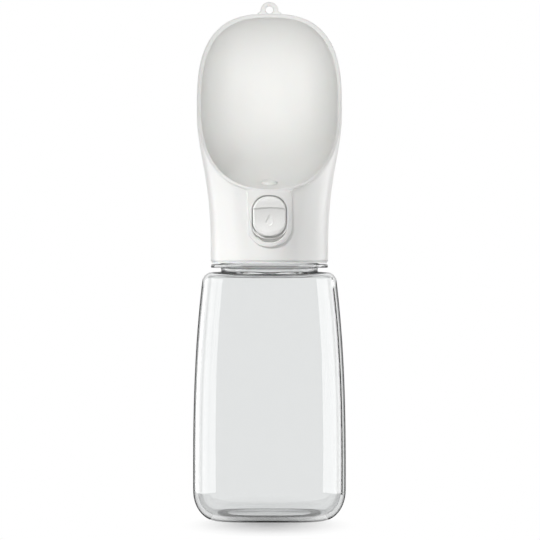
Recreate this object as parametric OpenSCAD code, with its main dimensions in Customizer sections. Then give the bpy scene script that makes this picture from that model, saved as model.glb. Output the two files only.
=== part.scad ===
// Travel water bottle for dogs: a clear bottle with a screw-on head that holds a drinking bowl,
// a push-button water valve and a slide lock. Millimetres, +Z up, the front faces -Y.
// The origin is the centre of the bottle's flat base.

/* [Bottle] */
// Height of the shoulder above the table
bottle_h = 129.9; // [110:0.1:170]
// Widest width, near the base
bottle_w = 79.7; // [74:0.1:92]
// Width lost between the widest height and the shoulder
bottle_taper_w = 10.7; // [2:0.1:12]
// Front to back depth near the base
bottle_d = 61; // [58:0.5:76]
// Depth lost between the widest height and the shoulder
bottle_taper_d = 2; // [0:0.1:3]
// Height at which the sides start to taper
taper_z = 25; // [15:1:50]
// Steepness with which the taper sets in, 2 is a parabola
taper_power = 2.5; // [2:0.1:3]
// Squareness of the plan, 2 is an ellipse
bottle_power = 3; // [2.4:0.1:4]
// Side wall
bottle_wall = 2.3; // [1.6:0.1:3]
// Floor thickness at its edge
floor_t = 2.6; // [2:0.1:4]
// Rise of the domed floor in the middle
floor_dome = 1.2; // [0:0.1:2.5]
// Shoulder plate thickness
shoulder_t = 2; // [1.6:0.1:3]
// Width of the rounded edge round the base
base_edge_w = 12.5; // [6:0.5:15]
// Height of the rounded edge round the base
base_edge_h = 15.6; // [8:0.2:20]
// Radius of the shoulder's edge
shoulder_r = 4.8; // [3.5:0.1:5.5]

/* [Neck] */
// Outside diameter of the neck
neck_d = 50.6; // [46:0.1:51.4]
// Neck wall
neck_wall = 2.1; // [1.8:0.1:2.6]
// Shoulder to the underside of the ledge
ledge_rise = 1.9; // [1:0.1:4]
// Diameter of the clear ledge under the head
ledge_d = 61.3; // [58:0.1:63]
// Thickness of the ledge
ledge_t = 2; // [1.4:0.1:3]
// Height of the threaded part above the ledge
neck_h = 9.2; // [8:0.1:12]

/* [Head shell] */
// Open gap between the ledge and the head
head_gap = 0.5; // [0.3:0.1:1.5]
// Diameter at the bottom, where the head is round
head_d = 61.4; // [61:0.1:63]
// Widest width, across the bowl
head_w = 75.4; // [72:0.1:80]
// Bottom edge to the height of the widest line
wide_rise = 80.7; // [79:0.5:90]
// Widest line to the top
crown_h = 47.9; // [47.5:0.1:54]
// Squareness of the top, seen from the front
crown_power = 2.75; // [2.4:0.05:3.2]
// Shell wall
shell_wall = 2; // [1.6:0.1:2.2]
// How far the middle of the upper plan lies in front of the bottle's axis
crown_forward = 10; // [6:0.5:14]
// Front half-depth of the plan at the widest line
crown_front = 23; // [18:0.5:26]
// How far the front bulges towards the bowl's lip
lip_bulge = 1.8; // [0.5:0.1:2.5]
// Height above the bottom edge at which the back starts to lean forward
back_bend = 25; // [20:1:40]
// Fullness of the back above that height, 2 is an ellipse
back_power = 2.4; // [2.3:0.05:2.8]

/* [Hang loop] */
// Width of the loop
loop_w = 9.4; // [8:0.1:12]
// Diameter of the hole for a wrist strap
loop_hole_d = 3.8; // [3:0.1:4.4]
// Height of the loop above the head
loop_rise = 6.2; // [5.6:0.1:8]
// Thickness front to back
loop_t = 3.5; // [2.5:0.1:5]

/* [Bowl] */
// Bottom edge of the head to the lowest point of the mouth
mouth_rise = 37.1; // [36.6:0.1:40]
// Shell left outside the rim at each side
side_lip = 0.4; // [0.3:0.05:1.5]
// Shell left above the rim
top_lip = 0.6; // [0.4:0.05:2]
// Squareness of the upper half of the mouth
bowl_power_up = 2.7; // [2.3:0.05:3]
// Squareness of the lower half of the mouth
bowl_power_low = 2.42; // [2.3:0.02:2.6]
// Distance of the deepest point behind the bottle's axis
bowl_back = 19.5; // [14:0.5:20]
// Fullness of the bowl in depth below its widest line, 2 is an ellipse
bowl_depth_power = 2.4; // [2.1:0.1:2.6]
// Fullness of the bowl in depth above its widest line
bowl_depth_power_up = 1.85; // [1.7:0.05:1.9]
// Bowl wall
bowl_wall = 1.5; // [1.2:0.1:1.6]
// Width of the rim at the sides
rim_w = 2.1; // [1.8:0.05:2.2]
// Width of the rim below the mouth
rim_low_w = 1.6; // [1.5:0.1:1.8]
// How far the rim stands out of the head's surface
rim_proud = 1.1; // [0.7:0.1:1.6]
// Thickness of the rim behind that surface
rim_back = 0.9; // [0.7:0.1:1.3]

/* [Button frame] */
// Width of the frame
frame_w = 23.1; // [22.6:0.1:25]
// Height of the frame's lower edge above the head's bottom edge
frame_low = 7.1; // [6.9:0.1:7.5]
// Radius of the frame's lower corners
frame_r = 11; // [10.5:0.1:11.3]
// How far the frame stands out from the head
frame_proud = 2.7; // [2.5:0.1:3.2]
// Thickness of the frame's face
frame_t = 2.1; // [1.8:0.1:2.3]
// Width of the window
window_w = 17.8; // [17:0.1:18.2]
// Height of the window
window_h = 24; // [23.5:0.1:24.4]
// Window's lower edge above the frame's lower edge
window_low = 2.6; // [2.4:0.1:3]
// Radius of the window's corners
window_r = 8; // [7.5:0.1:8.4]

/* [Button and lock] */
// Height of the button
button_h = 20.8; // [20:0.1:21]
// Gap between the button and the window
button_gap = 0.3; // [0.2:0.05:0.4]
// How far the edge of the button stands out of the frame
button_proud = 0.6; // [0.3:0.1:1.2]
// Height of the grip ridge above the button's edge
ridge_rise = 0.9; // [0.4:0.1:1.2]
// Depth of the thumb scoop below the button's edge
scoop_depth = 0.9; // [0.3:0.1:1.1]
// Thickness of the button's plate
button_t = 2.5; // [2.2:0.1:2.6]
// Depth of the button's side skirt behind its plate
skirt_depth = 2.2; // [1.5:0.1:2.4]
// Travel of the button when pressed
button_travel = 2.4; // [2:0.1:2.5]
// Travel of the slide lock
lock_travel = 2.7; // [2.2:0.1:2.8]
// Thickness of the lock slider
slider_t = 1.6; // [1.2:0.1:1.7]
// Width of the slider's side bars
slider_bar = 1.2; // [0.9:0.05:1.3]
// Diameter of the button's pushing post
post_d = 6; // [5:0.1:7]

/* [Inner cap] */
// Radial room for the screw thread between neck and collar
thread_room = 1.6; // [1.3:0.05:1.8]
// Thickness of the deck over the bottle's mouth
deck_t = 2; // [1.6:0.1:2.6]
// Thickness of the flange under the shell's edge
flange_t = 0.9; // [0.7:0.1:1.2]
// How far the flange is set in from the shell's edge
flange_inset = 0.5; // [0.3:0.1:1]
// Depth of the sealing spigot below the deck
spigot_h = 7; // [6:0.1:7.5]
// Spigot wall
spigot_wall = 2; // [1.8:0.1:2.5]
// Diameter of the water port through the deck
port_d = 6; // [4:0.1:7]

/* [Seals] */
// Thickness of the gasket between neck and deck
gasket_t = 1.8; // [1.4:0.1:2.4]
// Section diameter of the spigot's ring
o_ring_d = 1.8; // [1.6:0.05:2]
// Thickness of the gasket under the valve
foot_gasket_t = 1; // [0.6:0.1:1.5]
// Thickness of the seal behind the valve's end plug
plug_seal_t = 1; // [0.8:0.1:1.5]

/* [Valve] */
// Height of the valve's axis above the deck
valve_rise = 12.5; // [12:0.1:13]
// Outside diameter of the barrel
barrel_d = 15; // [14.4:0.1:16]
// Barrel's front face, in front of the bottle's axis
barrel_front = 14; // [13:0.1:14.5]
// Barrel's rear face, behind the bottle's axis
barrel_rear = 20; // [19:0.1:21]
// Diameter of the rear chamber
chamber_d = 11.2; // [10.6:0.1:11.6]
// Diameter of the opening in the valve seat
seat_d = 7.2; // [6.4:0.1:7.6]
// Valve seat, behind the bottle's axis
seat_y = 4; // [3.5:0.1:4.5]
// Diameter of the plunger's stem
stem_d = 4; // [3.4:0.1:4.4]
// Diameter of the pad at the stem's front end
pad_d = 11.6; // [11:0.1:13]
// Thickness of that pad
pad_t = 1.5; // [1:0.1:2]
// Length of stem that shows in front of the bush when it is pressed
stem_out = 5.2; // [4:0.1:6]
// Diameter of the gland pocket at the barrel's front
gland_d = 8; // [7.6:0.1:8.6]
// Depth of the gland pocket
gland_depth = 5; // [4.5:0.1:5.5]
// Thickness of the bush's flange
bush_flange = 1; // [0.8:0.1:1.5]
// Diameter of the poppet
poppet_d = 9; // [8.6:0.1:9.6]
// Thickness of the poppet's rubber face
poppet_seal_t = 1; // [0.8:0.1:1.3]
// Thickness of the poppet's plastic disc
poppet_disc_t = 1.4; // [1:0.1:1.8]
// Position of the inlet, behind the bottle's axis
inlet_y = 10; // [9:0.1:11]
// Position of the outlet, in front of the bottle's axis
outlet_front = 2; // [1:0.1:3]
// Bore of the outlet
outlet_d = 4.4; // [3.6:0.1:4.8]
// Outside diameter of the outlet's pipe
pipe_d = 7; // [6.6:0.1:7.6]
// Wall of the sleeve round the pipes
sleeve_wall = 1.4; // [1:0.1:1.8]
// Diameter of the nozzle's head inside the bowl
nozzle_d = 8.2; // [8:0.1:9]
// Height of the nozzle's head
nozzle_head_h = 1.5; // [1:0.1:2.2]

/* [Return spring] */
// Mean diameter of the coil
spring_d = 7; // [6.4:0.1:7.4]
// Wire diameter
wire_d = 0.8; // [0.6:0.05:1]
// Number of curls
spring_turns = 6; // [4:1:8]

/* [Fits] */
// Running gap between pieces that move
run_gap = 0.3; // [0.2:0.05:0.4]
// Gap between fixed pieces that fit together
fit_gap = 0.1; // [0.05:0.05:0.15]
// Radial clearance of the stem in its bush
stem_clear = 0.05; // [0.03:0.01:0.08]

/* [Hidden] */
$fn = 64;

// Heights of the bottle and neck
neck_r = neck_d / 2;
mouth_r = neck_r - neck_wall;
ledge_z = bottle_h + ledge_rise;
ledge_top = ledge_z + ledge_t;
neck_top = ledge_top + neck_h;

// Heights of the head
flange_z = ledge_top + head_gap;
shell_z = flange_z + flange_t;
wide_z = shell_z + wide_rise;
crown_z = wide_z + crown_h;
head_r = head_d / 2;
head_half = head_w / 2;
bowl_half = head_half - side_lip - rim_w;
bowl_up = crown_h - top_lip - rim_w;
bowl_down = wide_rise - mouth_rise;
deck_z = neck_top + gasket_t + 2 * fit_gap;
deck_top = deck_z + deck_t;
collar_r = neck_r + thread_room;
collar_out = head_r - shell_wall - fit_gap;

// The button's frame and window
frame_z = shell_z + frame_low;
window_z = frame_z + window_low;
window_top = window_z + window_h;
frame_out = head_r + frame_proud;
frame_back = frame_out - frame_t;
button_top = window_top - button_gap;
button_z = button_top - button_h;
button_half = window_w / 2 - button_gap;
button_out = frame_out + button_proud;
button_back = button_out - button_t;
slider_out = frame_back - fit_gap;
slider_in = slider_out - slider_t;
slider_half = window_w / 2 + slider_bar;

// The valve
valve_z = deck_top + valve_rise;
barrel_r = barrel_d / 2;
chamber_r = chamber_d / 2;
stem_r = stem_d / 2;
stem_ring_d = gland_d / 2 - fit_gap - stem_r - stem_clear;
bush_end = -barrel_front + gland_depth - stem_ring_d - fit_gap;
pad_front = barrel_front + bush_flange + button_travel + pad_t + stem_out;
outlet_y = -outlet_front;
poppet_y = seat_y + fit_gap;
disc_y = poppet_y + poppet_seal_t;
spring_y = disc_y + poppet_disc_t;
plug_depth = 4.5;
spring_end = barrel_rear - 1.5;
plug_flange_t = 2;

// Smooth step from 0 to 1
function smooth(u) = let (v = min(max(u, 0), 1)) v * v * (3 - 2 * v);
// Ordinate of a unit superellipse at abscissa u
function oval(u, power) = pow(max(1 - pow(min(abs(u), 1), power), 0), 1 / power);
// Distance from the centre to a superellipse with half-axes p and q, at angle a
function oval_r(a, p, q, power) =
    pow(pow(abs(cos(a)) / p, power) + pow(abs(sin(a)) / q, power), -1 / power);

// Closed body through rings that all have the same number of points
module loft(rings) {
    n = len(rings[0]);
    last = len(rings) - 1;
    points = [for (ring = rings) for (p = ring) p];
    low_cap = [for (k = [0 : n - 1]) k];
    high_cap = [for (k = [n - 1 : -1 : 0]) last * n + k];
    sides = [
        for (i = [0 : last - 1])
            for (k = [0 : n - 1])
                let (m = (k + 1) % n, a = i * n, b = (i + 1) * n)
                    each [[a + k, b + k, b + m], [a + k, b + m, a + m]]
    ];
    polyhedron(points, concat([low_cap], sides, [high_cap]), convexity = 8);
}

// Extrudes an outline drawn in X and Z from y0 back to y1
module facing(y0, y1) {
    translate([0, y1, 0]) rotate([90, 0, 0]) linear_extrude(y1 - y0) children();
}

// Turns a profile of radius and Y about the valve's axis
module along_valve() {
    translate([0, 0, valve_z]) rotate([-90, 0, 0]) rotate_extrude() children();
}

// Rectangle with rounded corners, in X and Z, standing on z0
module rounded(half, z0, z1, r) {
    translate([-half + r, z0]) square([2 * (half - r), z1 - z0]);
    translate([-half, z0 + r]) square([2 * half, z1 - z0 - 2 * r]);
    for (x = [-half + r, half - r]) for (z = [z0 + r, z1 - r]) translate([x, z]) circle(r);
}

// Flat ring profile for rotate_extrude
module band(r0, r1, z0, z1) {
    translate([r0, z0]) square([r1 - r0, z1 - z0]);
}

// The bottle's form
ring_points = 48;
edge_steps = 7;
side_steps = 7;
function taper(z) = pow(max(z - taper_z, 0) / (bottle_h - taper_z), taper_power);
function bottle_half_w(z) = bottle_w / 2 - bottle_taper_w / 2 * taper(z);
function bottle_half_d(z) = bottle_d / 2 - bottle_taper_d / 2 * taper(z);
function bottle_ring(z, inset) = [
    for (k = [0 : ring_points - 1])
        let (a = 360 * k / ring_points,
             r = oval_r(a, bottle_half_w(z) - inset, bottle_half_d(z) - inset, bottle_power))
            [r * cos(a), r * sin(a), z]
];
function neck_ring(r, z) = [
    for (k = [0 : ring_points - 1]) let (a = 360 * k / ring_points) [r * cos(a), r * sin(a), z]
];
// Rings up the side, from the base to the shoulder, set in by one wall
function bottle_rings(inset, bottom, top) = [
    for (i = [0 : edge_steps])
        let (a = 90 - 90 * i / edge_steps)
            bottle_ring(bottom + (base_edge_h - bottom) * (1 - sin(a)),
                        inset + (base_edge_w - inset) * (1 - cos(a))),
    for (i = [1 : side_steps])
        bottle_ring(base_edge_h + (top - shoulder_r + inset - base_edge_h) * i / side_steps, inset),
    for (i = [1 : edge_steps - 2])
        let (a = 90 * i / (edge_steps - 2))
            bottle_ring(top - (shoulder_r - inset) * (1 - sin(a)),
                        inset + (shoulder_r - inset) * (1 - cos(a)))
];
function reversed(list) = [for (i = [len(list) - 1 : -1 : 0]) list[i]];

module bottle_body() {
    joint_r = neck_r - neck_wall / 2;
    lip = 0.4;
    ledge_edge = ledge_t / 4;
    dome = [
        for (s = [0.35, 0.7])
            [
                for (p = bottle_ring(floor_t, base_edge_w))
                    [p.x * s, p.y * s, floor_t + floor_dome * (1 - s)]
            ]
    ];
    color("gainsboro", 0.4) {
        loft(concat(
            bottle_rings(0, 0, bottle_h),
            [neck_ring(joint_r, bottle_h), neck_ring(joint_r, bottle_h - shoulder_t)],
            reversed(bottle_rings(bottle_wall, floor_t, bottle_h - shoulder_t)),
            reversed(dome)
        ));
        rotate_extrude() {
            band(mouth_r, neck_r, bottle_h - shoulder_t / 2, neck_top - lip);
            band(mouth_r + lip, neck_r - lip, bottle_h, neck_top);
            band(mouth_r, ledge_d / 2 - ledge_edge, ledge_z, ledge_top);
            band(mouth_r, ledge_d / 2, ledge_z + ledge_edge, ledge_top - ledge_edge);
            for (z = [ledge_z + ledge_edge, ledge_top - ledge_edge])
                translate([ledge_d / 2 - ledge_edge, z]) circle(ledge_edge);
            for (r = [mouth_r + lip, neck_r - lip]) translate([r, neck_top - lip]) circle(lip);
        }
    }
}

module neck_gasket() {
    color("whitesmoke")
        rotate_extrude()
            band(mouth_r + fit_gap, neck_r + thread_room / 2,
                 neck_top + fit_gap, neck_top + fit_gap + gasket_t);
}

// The ring lies in a groove round the spigot, a running gap inside the neck
spigot_r = mouth_r - run_gap;
o_ring_z = deck_z - spigot_h + o_ring_d / 2 + 1;
module spigot_o_ring() {
    color("dimgray")
        rotate_extrude()
            translate([mouth_r - stem_clear - o_ring_d / 2, o_ring_z]) circle(o_ring_d / 2);
}

module inner_cap() {
    groove = o_ring_d + 2 * fit_gap;
    color("white")
        difference() {
            rotate_extrude() {
                band(0, collar_out, deck_z, deck_top);
                band(collar_r, collar_out, flange_z, deck_top);
                band(collar_r, head_r - flange_inset, flange_z, shell_z);
                difference() {
                    band(spigot_r - spigot_wall, spigot_r, deck_z - spigot_h, deck_z + deck_t / 2);
                    band(mouth_r - o_ring_d - fit_gap, mouth_r,
                         o_ring_z - groove / 2, o_ring_z + groove / 2);
                }
            }
            translate([0, inlet_y, deck_z - 1]) cylinder(d = port_d, h = deck_t + 2);
        }
}

// The head's form: half-width, middle, front and back of its plan at each height
frame_rise = bowl_down + rim_low_w;
lip_z = wide_z - frame_rise;
function head_half_w(z, inset) = z < wide_z
    ? head_r - inset + (head_half - head_r) * smooth(pow(max((z - shell_z) / (wide_rise - 6), 0), 1.6))
    : (head_half - inset) * oval((z - wide_z) / (crown_h - inset), crown_power);
function head_mid_y(z) = -crown_forward * smooth((z - lip_z + 12) / (frame_rise + 12));
function crown_turn(z, inset) =
    pow(oval((z - wide_z) / (crown_h - inset), crown_power), crown_power / 2);
function head_front(z, inset) = z < lip_z
    ? head_r + lip_bulge * smooth((z - shell_z) / (lip_z - shell_z)) + head_mid_y(z) - inset
    : z < wide_z
    ? let (lip_front = head_r + lip_bulge + head_mid_y(lip_z))
        lip_front + (crown_front - lip_front) * smooth((z - lip_z) / frame_rise) - inset
    : (crown_front - inset) * pow(crown_turn(z, inset), 0.8);
function head_back(z, inset) =
    let (bend = shell_z + back_bend, v = (z - bend) / (crown_z - inset - bend))
        v < 0 ? head_r - inset - head_mid_y(z)
        : (head_r - inset + crown_forward) * pow(max(1 - pow(v, back_power), 0), 0.52)
          - crown_forward - head_mid_y(z);
function head_power(z) = 2 + 0.4 * smooth((z - frame_z + 3) / (lip_z - frame_z));
function head_ring(z, inset) = [
    for (k = [0 : ring_points - 1])
        let (a = 360 * k / ring_points,
             depth = a < 180 ? head_back(z, inset) : head_front(z, inset),
             r = oval_r(a, head_half_w(z, inset), depth, head_power(z)))
            [r * cos(a), head_mid_y(z) + r * sin(a), z]
];
low_steps = 13;
crown_steps = 12;
crown_end = 85;
function crown_level(i, inset) =
    wide_z + (crown_h - inset) * pow(sin(crown_end * i / crown_steps), 2 / crown_power);
module head_form(inset, bottom) {
    levels = concat(
        [bottom],
        [for (i = [bottom < shell_z ? 0 : 1 : low_steps]) shell_z + wide_rise * i / low_steps],
        [for (i = [1 : crown_steps]) crown_level(i, inset)]
    );
    loft([for (z = levels) head_ring(z, inset)]);
}

// The mouth of the bowl and the outer edge of its rim, at an angle seen from the front
function mouth_r_at(a) = sin(a) < 0
    ? oval_r(a, bowl_half, bowl_down, bowl_power_low)
    : oval_r(a, bowl_half, bowl_up, bowl_power_up);
function rim_r_at(a) = sin(a) < 0
    ? oval_r(a, bowl_half + rim_w, frame_rise, bowl_power_low)
    : oval_r(a, bowl_half + rim_w, bowl_up + rim_w, crown_power);
// The head's surface in Y where the rim's outer edge lies on it
function rim_y_at(a) =
    let (x = rim_r_at(a) * cos(a), z = wide_z + rim_r_at(a) * sin(a),
         half = head_half_w(z, 0), share = half > 0 ? abs(x) / half : 0)
        head_mid_y(z) - head_front(z, 0) * oval(share, head_power(z));
// One ring round the bowl: so far outside the mouth (share 0) or rim (share 1), at a depth
function rim_ring(share, grow, dy) = [
    for (k = [0 : ring_points - 1])
        let (a = 360 * k / ring_points,
             r = mouth_r_at(a) + (rim_r_at(a) - mouth_r_at(a)) * share + grow)
            [r * cos(a), rim_y_at(a) + dy, wide_z + r * sin(a)]
];
bowl_steps = 10;
bowl_drop = 3;
pole_share = 0.08;
// One ring of the bowl's wall, from the mouth (turn 0) to the deepest point (turn 90)
function bowl_ring(turn, grow, back = 0) =
    [
        for (k = [0 : ring_points - 1])
            let (a = 360 * k / ring_points,
                 up = smooth(sin(a) + 0.3),
                 power = bowl_depth_power + (bowl_depth_power_up - bowl_depth_power) * up,
                 s = max(pow(cos(turn), 2 / power), pole_share),
                 d = pow(sin(turn), 2 / power),
                 r = (mouth_r_at(a) + grow) * s,
                 y0 = rim_y_at(a) + rim_back + back)
                [r * cos(a), y0 + (bowl_back + grow - y0) * d, wide_z + r * sin(a) - bowl_drop * d]
    ];
function bowl_rings(grow, back = 0) =
    [for (i = [0 : bowl_steps]) bowl_ring(90 * i / bowl_steps, grow, back)];

// Room that the bowl and rim take out of the shell
module bowl_room() {
    seat = [
        for (k = [0 : ring_points - 1])
            let (a = 360 * k / ring_points,
                 z = wide_z + rim_r_at(a) * sin(a),
                 r = rim_r_at(a) + fit_gap + 3 * smooth((z - lip_z - 12) / 20))
                [r * cos(a), rim_y_at(a) + rim_back + 2 * fit_gap, wide_z + r * sin(a)]
    ];
    loft(concat(
        reversed(bowl_rings(bowl_wall + 2 * fit_gap, 2 * fit_gap)),
        [seat, [for (p = seat) [p.x, -head_d, p.z]]]
    ));
}

// Outline of the opening in the shell behind the button's frame
module slider_room(gap) {
    z0 = button_z - slider_bar - lock_travel - gap;
    rounded(slider_half + gap, z0, lip_z + 2, window_r + slider_bar);
}

module hang_loop() {
    top = crown_z + loop_rise;
    root_z = crown_z - 0.75 * shell_wall;
    translate([0, -crown_forward + loop_t / 4, 0])
        facing(-loop_t / 2, loop_t / 2)
            difference() {
                intersection() {
                    union() {
                        translate([0, top - loop_w / 2]) circle(loop_w / 2);
                        translate([-loop_w / 2, root_z]) square([loop_w, top - loop_w / 2 - root_z]);
                    }
                    translate([-loop_w / 2, root_z]) square([loop_w, top - root_z]);
                }
                translate([0, loop_hole_z]) circle(loop_hole_d / 2);
            }
}
loop_hole_z = crown_z + loop_hole_d / 2 + fit_gap;

module head_shell() {
    color("white") {
        resize([head_w, 0, 0])
            difference() {
                head_form(0, shell_z);
                head_form(shell_wall, shell_z - 1);
                bowl_room();
                facing(-head_d, -head_r / 2) slider_room(fit_gap);
            }
        hang_loop();
    }
}

// The outlet's height on the bowl's floor
boss_h = 2.6;
boss_wall = 1.6;
boss_z = wide_z - bowl_down + 2.9;
nozzle_z = boss_z + nozzle_head_h;
pipe_h = 2.6;
pipe_joint_z = valve_z + barrel_r + pipe_h;
sleeve_r = pipe_d / 2 + sleeve_wall;

module frame_plate() {
    difference() {
        intersection() {
            facing(-2 * head_r, -head_r / 2)
                rounded(frame_w / 2, frame_z, wide_z - bowl_down + 2 * frame_r, frame_r);
            translate([0, 0, frame_z - 1]) cylinder(r = frame_out, h = head_w);
            translate([0, 0, frame_z])
                cube([frame_w, 4 * head_r, 2 * (lip_z + 3 - frame_z)], center = true);
        }
        head_form(-fit_gap / 2, shell_z);
        facing(-frame_back, 0) slider_room(run_gap);
    }
}

module bowl() {
    color("white")
        resize([0, 0, 0])
            difference() {
                union() {
                    loft(concat(
                        reversed(bowl_rings(bowl_wall)),
                        [
                            rim_ring(1, 0, rim_back),
                            rim_ring(1, 0, -0.3 * rim_proud),
                            rim_ring(1, -0.3, -0.8 * rim_proud),
                            rim_ring(0.5, 0, -rim_proud),
                            rim_ring(0, 0.3, -0.8 * rim_proud),
                            rim_ring(0, 0, -0.3 * rim_proud)
                        ],
                        bowl_rings(0)
                    ));
                    frame_plate();
                    translate([0, outlet_y, boss_z - boss_h])
                        cylinder(r = nozzle_d / 2 + boss_wall, h = boss_h);
                }
                loft(concat(reversed(bowl_rings(0)), [[for (p = rim_ring(0, 0, 0)) [p.x, -head_d, p.z]]]));
                facing(-2 * head_r, 0) rounded(window_w / 2, window_z, window_top, window_r);
                translate([0, outlet_y, valve_z])
                    cylinder(d = pipe_d + 2 * fit_gap, h = 3 * bowl_drop + head_r);
                translate([0, outlet_y, boss_z]) cylinder(d = nozzle_d + 2 * fit_gap, h = head_r);
            }
}

module outlet_nozzle() {
    color("gainsboro")
        translate([0, outlet_y, 0])
            rotate_extrude() {
                band(outlet_d / 2, pipe_d / 2, pipe_joint_z + fit_gap, nozzle_z);
                band(outlet_d / 2, nozzle_d / 2, boss_z, nozzle_z);
            }
}

module outlet_sleeve() {
    color("lightgray")
        translate([0, outlet_y, 0])
            rotate_extrude()
                band(pipe_d / 2, sleeve_r, valve_z + barrel_r + fit_gap, boss_z - boss_h - fit_gap);
}

foot_half = barrel_r - 0.5;
foot_y0 = -3;
foot_z = deck_top + foot_gasket_t;
module valve_barrel() {
    wall_y = -barrel_front + gland_depth;
    color("ghostwhite")
        difference() {
            union() {
                along_valve() band(0, barrel_r, -barrel_front, barrel_rear);
                translate([-foot_half, foot_y0, foot_z])
                    cube([2 * foot_half, barrel_rear - 1 - foot_y0, valve_z - foot_z]);
                translate([0, outlet_y, valve_z]) cylinder(d = pipe_d, h = pipe_joint_z - valve_z);
            }
            along_valve() {
                band(0, gland_d / 2, -barrel_front - 1, wall_y);
                band(0, stem_r + run_gap, wall_y - 1, wall_y + 2);
                band(0, seat_d / 2, wall_y + 1.5, seat_y + 1);
                band(0, chamber_r, seat_y, barrel_rear + 1);
            }
            translate([0, inlet_y, foot_z - 1]) cylinder(d = port_d - 1, h = valve_z - foot_z + 1);
            translate([0, outlet_y, valve_z]) cylinder(d = outlet_d, h = pipe_joint_z - valve_z + 1);
        }
}

module valve_foot_gasket() {
    color("lightgray")
        translate([0, inlet_y, 0])
            rotate_extrude() band(port_d / 2, port_d / 2 + 2.2, deck_top, foot_z);
}

module stem_bush() {
    color("silver")
        along_valve() {
            band(stem_r + stem_clear, gland_d / 2 - fit_gap, -barrel_front, bush_end);
            band(stem_r + stem_clear, gland_d / 2 + 1.5, -barrel_front - bush_flange, -barrel_front);
        }
}

module stem_o_ring() {
    r = stem_ring_d / 2;
    color("dimgray")
        along_valve()
            translate([stem_r + stem_clear + r, -barrel_front + gland_depth - r]) circle(r);
}

module plunger() {
    color("white")
        along_valve() {
            band(0, stem_r, -pad_front + pad_t / 2, spring_y);
            band(0, pad_d / 2, -pad_front, -pad_front + pad_t);
        }
}

module poppet_seal() {
    color("dimgray") along_valve() band(stem_r, poppet_d / 2, poppet_y, disc_y);
}

module poppet_disc() {
    color("white") along_valve() band(stem_r, poppet_d / 2, disc_y, spring_y);
}

// One unbroken wire: closed curls at both ends and an open pitch between them
curl_rings = 8;
wire_sides = 6;
function spring_path(u) =
    let (a = 360 * spring_turns * u,
         len = spring_end - spring_y - wire_d,
         rise = smooth(u) * 0.3 + u * 0.7)
        [spring_d / 2 * cos(a), spring_y + wire_d / 2 + len * rise, valve_z + spring_d / 2 * sin(a)];
function wire_ring(u) =
    let (p = spring_path(u), a = 360 * spring_turns * u, out = [cos(a), 0, sin(a)])
        [for (k = [0 : wire_sides - 1])
            let (b = 360 * k / wire_sides) p + wire_d / 2 * (out * cos(b) + [0, sin(b), 0])];
module valve_spring() {
    steps = curl_rings * spring_turns;
    gaps = [
        for (i = [0 : steps - curl_rings])
            norm(spring_path((i + curl_rings) / steps) - spring_path(i / steps))
    ];
    echo(least_gap_between_curls = min(gaps) - wire_d);
    color("silver") loft(reversed([for (i = [0 : steps]) wire_ring(i / steps)]));
}

module spring_plug() {
    color("white")
        along_valve() {
            difference() {
                band(0, chamber_r - fit_gap, barrel_rear - plug_depth, barrel_rear + plug_seal_t);
                band(0, spring_d / 2 + wire_d, barrel_rear - plug_depth - 1, spring_end);
            }
            band(0, barrel_r, barrel_rear + plug_seal_t, barrel_rear + plug_seal_t + plug_flange_t);
        }
}

module plug_seal() {
    color("dimgray")
        along_valve() band(chamber_r, barrel_r - fit_gap, barrel_rear, barrel_rear + plug_seal_t);
}

module lock_slider() {
    color("gainsboro")
        facing(-slider_out, -slider_in)
            difference() {
                rounded(slider_half, button_z - slider_bar, button_top + slider_bar,
                        window_r + slider_bar - button_gap);
                rounded(window_w / 2, button_z - button_gap, button_top + button_gap, window_r);
            }
}

// The button's face from top to bottom: grip ridge, thumb scoop and a sloping lower edge
face_steps = 26;
function button_face(u) =
    ridge_rise * pow(max(sin(180 * min(max((u - 0.02) / 0.32, 0), 1)), 0), 1.5)
    - scoop_depth * pow(max(sin(180 * min(max((u - 0.3) / 0.7, 0), 1)), 0), 1.2)
    - 0.6 * smooth((u - 0.94) / 0.06) - 0.6 * smooth((0.05 - u) / 0.05);
module button_profile() {
    polygon(concat(
        [for (i = [0 : face_steps]) let (u = i / face_steps)
            [-button_out - button_face(u), button_top - button_h * u]],
        [[-button_back, button_z], [-button_back, button_top]]
    ));
}
// Depth of a debossed drop shape in the button's face
mark_depth = 0.3;
module drop_mark() {
    z = button_z + button_h * 0.36;
    translate([0, z]) circle(1.7);
    polygon([[-1.55, z + 0.7], [1.55, z + 0.7], [0, z + 3.9]]);
}
module button() {
    r = window_r - button_gap;
    skirt_wall = 1.2;
    skirt_low = button_z + lock_travel + skirt_wall;
    root = 0.2;
    color("white") {
        difference() {
            intersection() {
                facing(-2 * head_r, 0) rounded(button_half, button_z, button_top, r);
                rotate([90, 0, 90]) linear_extrude(window_w, center = true) button_profile();
            }
            intersection() {
                facing(-2 * head_r, -button_out + scoop_depth + mark_depth - 0.3) drop_mark();
                translate([0, 0, button_z]) cube([window_w, 4 * head_r, 2 * button_h], center = true);
            }
        }
        facing(-button_back - root, -button_back + skirt_depth)
            difference() {
                rounded(button_half - root, button_z + root, button_top - root, r - root);
                rounded(button_half - skirt_wall, button_z + skirt_wall,
                        button_top - skirt_wall, r - skirt_wall);
                translate([-window_w / 2, button_z - 1]) square([window_w, skirt_low - button_z + 1]);
            }
        translate([0, -button_back - root, valve_z]) rotate([-90, 0, 0])
            cylinder(d = post_d, h = button_back + root - pad_front - fit_gap);
    }
}

bottle_body();
neck_gasket();
spigot_o_ring();
inner_cap();
head_shell();
bowl();
outlet_nozzle();
outlet_sleeve();
valve_barrel();
valve_foot_gasket();
stem_bush();
stem_o_ring();
plunger();
poppet_seal();
poppet_disc();
valve_spring();
spring_plug();
plug_seal();
lock_slider();
button();
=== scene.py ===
import math

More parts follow.
